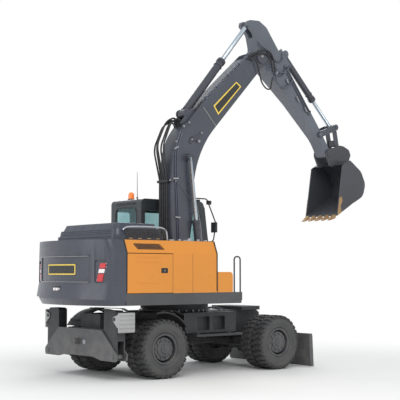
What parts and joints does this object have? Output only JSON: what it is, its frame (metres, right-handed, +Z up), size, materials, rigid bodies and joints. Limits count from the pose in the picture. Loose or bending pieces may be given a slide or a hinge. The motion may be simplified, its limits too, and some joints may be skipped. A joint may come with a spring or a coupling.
{
  "type": "wheeled excavator",
  "caption": "Wheeled excavator with twin tyres, raised two-part digging arm and toothed bucket, dozer blade in front, stabilisers behind, glazed cab and orange side doors.",
  "frame": {"origin": "on the ground, under the middle of the machine from tail to bucket and between the wheels", "axes": "+X forward towards the bucket, +Y to the left, +Z up"},
  "size_m": [7.596, 2.5, 7.1665],
  "materials": {
    "barrel": "satin",
    "black": "satin",
    "charcoal": "satin",
    "chrome": "polished",
    "engine": "rough",
    "glass": "clear",
    "hose": "matt",
    "interior": "matt",
    "lamp": "gloss",
    "pad": "matt",
    "panel": "satin",
    "rim": "satin",
    "teeth": "satin",
    "tyre": "matt",
    "undercarriage": "satin"
  },
  "bodies": {
    "chassis": {"chassis_frame": "undercarriage", "front_axle": "undercarriage", "rear_axle": "undercarriage", "side_boxes": "black", "stabiliser_carrier": "undercarriage", "slew_ring": "undercarriage"},
    "upper": {"upper_frame": "black", "counterweight": "charcoal", "housings": "panel", "engine": "engine", "cab_shell": "charcoal", "cab_glass": "glass", "cab_interior": "interior", "rails": "black", "lamps": "lamp", "beacon": "lamp", "mirror_stay": "black"},
    "wheels_rear_left": {"tyres_rear_left": "tyre", "rims_rear_left": "rim"},
    "wheels_rear_right": {"tyres_rear_right": "tyre", "rims_rear_right": "rim"},
    "wheels_front_left": {"tyres_front_left": "tyre", "rims_front_left": "rim"},
    "wheels_front_right": {"tyres_front_right": "tyre", "rims_front_right": "rim"},
    "knuckle_left": {"knuckle_left": "undercarriage"},
    "knuckle_right": {"knuckle_right": "undercarriage"},
    "tie_rod": {"tie_rod": "undercarriage"},
    "boom": {"boom": "charcoal", "boom_lines": "hose"},
    "boom_cylinder_barrel": {"boom_cylinder_barrel": "barrel"},
    "boom_cylinder_rod": {"boom_cylinder_rod": "chrome"},
    "arm": {"arm": "charcoal", "arm_lines": "hose"},
    "arm_cylinder_barrel": {"arm_cylinder_barrel": "barrel"},
    "arm_cylinder_rod": {"arm_cylinder_rod": "chrome"},
    "bucket": {"bucket": "charcoal", "bucket_teeth": "teeth"},
    "rocker": {"rocker": "charcoal"},
    "bucket_link": {"bucket_link": "charcoal"},
    "bucket_cylinder_barrel": {"bucket_cylinder_barrel": "barrel"},
    "bucket_cylinder_rod": {"bucket_cylinder_rod": "chrome"},
    "blade_lower_links": {"blade_lower_links": "undercarriage"},
    "blade_upper_links": {"blade_upper_links": "undercarriage"},
    "blade": {"blade": "undercarriage"},
    "blade_cylinder_barrel": {"blade_cylinder_barrel": "barrel"},
    "blade_cylinder_rod": {"blade_cylinder_rod": "chrome"},
    "stabiliser_leg_left": {"stabiliser_leg_left": "undercarriage"},
    "stabiliser_pad_left": {"stabiliser_pad_left": "pad"},
    "stabiliser_left_barrel": {"stabiliser_left_barrel": "barrel"},
    "stabiliser_left_rod": {"stabiliser_left_rod": "chrome"},
    "stabiliser_leg_right": {"stabiliser_leg_right": "undercarriage"},
    "stabiliser_pad_right": {"stabiliser_pad_right": "pad"},
    "stabiliser_right_barrel": {"stabiliser_right_barrel": "barrel"},
    "stabiliser_right_rod": {"stabiliser_right_rod": "chrome"},
    "side_door_left": {"side_door_left": "panel"},
    "side_door_right": {"side_door_right": "panel"},
    "cab_door": {"cab_door": "charcoal", "door_glass": "glass"},
    "hood": {"hood": "black"}
  },
  "joints": [
    {"name": "wheel_rear_left", "type": "hinge", "parent": "chassis", "child": "wheels_rear_left", "pos_m": [-2.283, 1.111, 0.5275], "axis": [0, 1, 0], "continuous": true},
    {"name": "wheel_rear_right", "type": "hinge", "parent": "chassis", "child": "wheels_rear_right", "pos_m": [-2.283, -1.111, 0.5275], "axis": [0, 1, 0], "continuous": true},
    {"name": "wheel_front_left", "type": "hinge", "parent": "knuckle_left", "child": "wheels_front_left", "pos_m": [0.517, 1.111, 0.5275], "axis": [0, 1, 0], "continuous": true},
    {"name": "wheel_front_right", "type": "hinge", "parent": "knuckle_right", "child": "wheels_front_right", "pos_m": [0.517, -1.111, 0.5275], "axis": [0, 1, 0], "continuous": true},
    {"name": "steer_left", "type": "hinge", "parent": "chassis", "child": "knuckle_left", "pos_m": [0.517, 0.53, 0.5275], "axis": [0, 0, 1], "range_deg": [-27, 27]},
    {"name": "steer_right", "type": "hinge", "parent": "chassis", "child": "knuckle_right", "pos_m": [0.517, -0.53, 0.5275], "axis": [0, 0, 1], "range_deg": [-27, 27]},
    {"name": "tie_rod_slide", "type": "slide", "parent": "chassis", "child": "tie_rod", "axis": [0, 1, 0], "range_m": [-0.12, 0.12]},
    {"name": "slew", "type": "hinge", "parent": "chassis", "child": "upper", "pos_m": [-1.133, 0, 1.312], "axis": [0, 0, 1], "continuous": true},
    {"name": "boom_raise", "type": "hinge", "parent": "upper", "child": "boom", "pos_m": [-1.273, -0.14, 1.8], "axis": [0, -1, 0], "range_deg": [-90, 3]},
    {"name": "boom_cylinder_swing", "type": "hinge", "parent": "upper", "child": "boom_cylinder_barrel", "pos_m": [-0.738, -0.14, 1.425], "axis": [0, -1, 0], "range_deg": [-89, 4]},
    {"name": "boom_cylinder_slide", "type": "slide", "parent": "boom_cylinder_barrel", "child": "boom_cylinder_rod", "axis": [-0.1223, 0, 0.9925], "range_m": [-0.9219, 0.0336]},
    {"name": "arm_swing", "type": "hinge", "parent": "boom", "child": "arm", "pos_m": [0.926, -0.14, 6.399], "axis": [0, 1, 0], "range_deg": [-80, 20]},
    {"name": "arm_cylinder_swing", "type": "hinge", "parent": "boom", "child": "arm_cylinder_barrel", "pos_m": [-1.024, -0.14, 5.017], "axis": [0, 1, 0], "range_deg": [-2, 3]},
    {"name": "arm_cylinder_slide", "type": "slide", "parent": "arm_cylinder_barrel", "child": "arm_cylinder_rod", "axis": [0.6387, 0, 0.7694], "range_m": [-0.8546, 0.2159]},
    {"name": "bucket_curl", "type": "hinge", "parent": "arm", "child": "bucket", "pos_m": [2.942, -0.14, 4.52], "axis": [0, 1, 0], "range_deg": [-50, 95]},
    {"name": "rocker_swing", "type": "hinge", "parent": "arm", "child": "rocker", "pos_m": [2.677, -0.14, 4.914], "axis": [0, 1, 0], "range_deg": [-33, 61]},
    {"name": "bucket_link_swing", "type": "hinge", "parent": "rocker", "child": "bucket_link", "pos_m": [3.186, -0.14, 5.121], "axis": [0, 1, 0], "range_deg": [-47, 25]},
    {"name": "bucket_cylinder_swing", "type": "hinge", "parent": "arm", "child": "bucket_cylinder_barrel", "pos_m": [1.706, -0.14, 6.585], "axis": [0, 1, 0], "range_deg": [-6, 10]},
    {"name": "bucket_cylinder_slide", "type": "slide", "parent": "bucket_cylinder_barrel", "child": "bucket_cylinder_rod", "axis": [0.7109, 0, -0.7033], "range_m": [-0.2316, 0.4374]},
    {"name": "blade_raise", "type": "hinge", "parent": "chassis", "child": "blade_lower_links", "pos_m": [0.869, 0, 0.33], "axis": [0, -1, 0], "range_deg": [-10, 44]},
    {"name": "blade_upper_links_swing", "type": "hinge", "parent": "chassis", "child": "blade_upper_links", "pos_m": [0.869, 0, 0.56], "axis": [0, -1, 0], "range_deg": [-11, 45]},
    {"name": "blade_level", "type": "hinge", "parent": "blade_lower_links", "child": "blade", "pos_m": [1.28623, 0, 0.16143], "axis": [0, -1, 0], "range_deg": [-45, 11]},
    {"name": "blade_cylinder_swing", "type": "hinge", "parent": "chassis", "child": "blade_cylinder_barrel", "pos_m": [0.892, 0, 0.9], "axis": [0, -1, 0], "range_deg": [-10, 38]},
    {"name": "blade_cylinder_slide", "type": "slide", "parent": "blade_cylinder_barrel", "child": "blade_cylinder_rod", "axis": [0.694, 0, -0.7199], "range_m": [-0.1643, 0.0397]},
    {"name": "stabiliser_fold_left", "type": "hinge", "parent": "chassis", "child": "stabiliser_leg_left", "pos_m": [-3.193, 1.075, 0.43], "axis": [1, 0, 0], "range_deg": [-121, 0]},
    {"name": "stabiliser_pad_swing_left", "type": "hinge", "parent": "stabiliser_leg_left", "child": "stabiliser_pad_left", "pos_m": [-3.193, 1.11, 1.08], "axis": [1, 0, 0], "range_deg": [-2, 34]},
    {"name": "stabiliser_left_swing", "type": "hinge", "parent": "chassis", "child": "stabiliser_left_barrel", "pos_m": [-3.193, 0.3, 0.72], "axis": [1, 0, 0], "range_deg": [-1, 4]},
    {"name": "stabiliser_left_slide", "type": "slide", "parent": "stabiliser_left_barrel", "child": "stabiliser_left_rod", "axis": [0, 0.9701, -0.2425], "range_m": [-0.003, 0.3315]},
    {"name": "stabiliser_fold_right", "type": "hinge", "parent": "chassis", "child": "stabiliser_leg_right", "pos_m": [-3.193, -1.075, 0.43], "axis": [-1, 0, 0], "range_deg": [-121, 0]},
    {"name": "stabiliser_pad_swing_right", "type": "hinge", "parent": "stabiliser_leg_right", "child": "stabiliser_pad_right", "pos_m": [-3.193, -1.11, 1.08], "axis": [-1, 0, 0], "range_deg": [-2, 34]},
    {"name": "stabiliser_right_swing", "type": "hinge", "parent": "chassis", "child": "stabiliser_right_barrel", "pos_m": [-3.193, -0.3, 0.72], "axis": [-1, 0, 0], "range_deg": [-1, 4]},
    {"name": "stabiliser_right_slide", "type": "slide", "parent": "stabiliser_right_barrel", "child": "stabiliser_right_rod", "axis": [0, -0.9701, -0.2425], "range_m": [-0.003, 0.3315]},
    {"name": "side_door_open_left", "type": "hinge", "parent": "upper", "child": "side_door_left", "pos_m": [-3.121, 1.237, 1.874], "axis": [0, 0, 1], "range_deg": [0, 110]},
    {"name": "side_door_open_right", "type": "hinge", "parent": "upper", "child": "side_door_right", "pos_m": [-3.121, -1.237, 1.874], "axis": [0, 0, -1], "range_deg": [0, 110]},
    {"name": "cab_door_open", "type": "hinge", "parent": "upper", "child": "cab_door", "pos_m": [-1.253, 1.237, 2.395], "axis": [0, 0, 1], "range_deg": [0, 95]},
    {"name": "hood_open", "type": "hinge", "parent": "upper", "child": "hood", "pos_m": [-2.103, 0, 2.463], "axis": [0, 1, 0], "range_deg": [0, 50]}
  ],
  "couplings": [
    {"joint": "steer_right", "follows": "steer_left", "ratio": 1},
    {"joint": "tie_rod_slide", "follows": "steer_left", "m_per_rad": -0.22},
    {"joint": "boom_cylinder_swing", "follows": "boom_raise", "ratio": 0.975},
    {"joint": "boom_cylinder_slide", "follows": "boom_raise", "m_per_rad": 0.585},
    {"joint": "arm_cylinder_swing", "follows": "arm_swing", "ratio": -0.013},
    {"joint": "arm_cylinder_slide", "follows": "arm_swing", "m_per_rad": 0.6099},
    {"joint": "rocker_swing", "follows": "bucket_curl", "ratio": 0.625},
    {"joint": "bucket_link_swing", "follows": "bucket_curl", "ratio": -0.48},
    {"joint": "bucket_cylinder_swing", "follows": "bucket_curl", "ratio": 0.085},
    {"joint": "bucket_cylinder_slide", "follows": "bucket_curl", "m_per_rad": 0.262},
    {"joint": "blade_upper_links_swing", "follows": "blade_raise", "ratio": 1},
    {"joint": "blade_level", "follows": "blade_raise", "ratio": -1},
    {"joint": "blade_cylinder_swing", "follows": "blade_raise", "ratio": 0.82},
    {"joint": "blade_cylinder_slide", "follows": "blade_raise", "m_per_rad": -0.21},
    {"joint": "stabiliser_pad_swing_left", "follows": "stabiliser_fold_left", "ratio": -0.26},
    {"joint": "stabiliser_left_swing", "follows": "stabiliser_fold_left", "ratio": -0.0224},
    {"joint": "stabiliser_left_slide", "follows": "stabiliser_fold_left", "m_per_rad": -0.15555},
    {"joint": "stabiliser_pad_swing_right", "follows": "stabiliser_fold_right", "ratio": -0.26},
    {"joint": "stabiliser_right_swing", "follows": "stabiliser_fold_right", "ratio": -0.0224},
    {"joint": "stabiliser_right_slide", "follows": "stabiliser_fold_right", "m_per_rad": -0.15555}
  ]
}
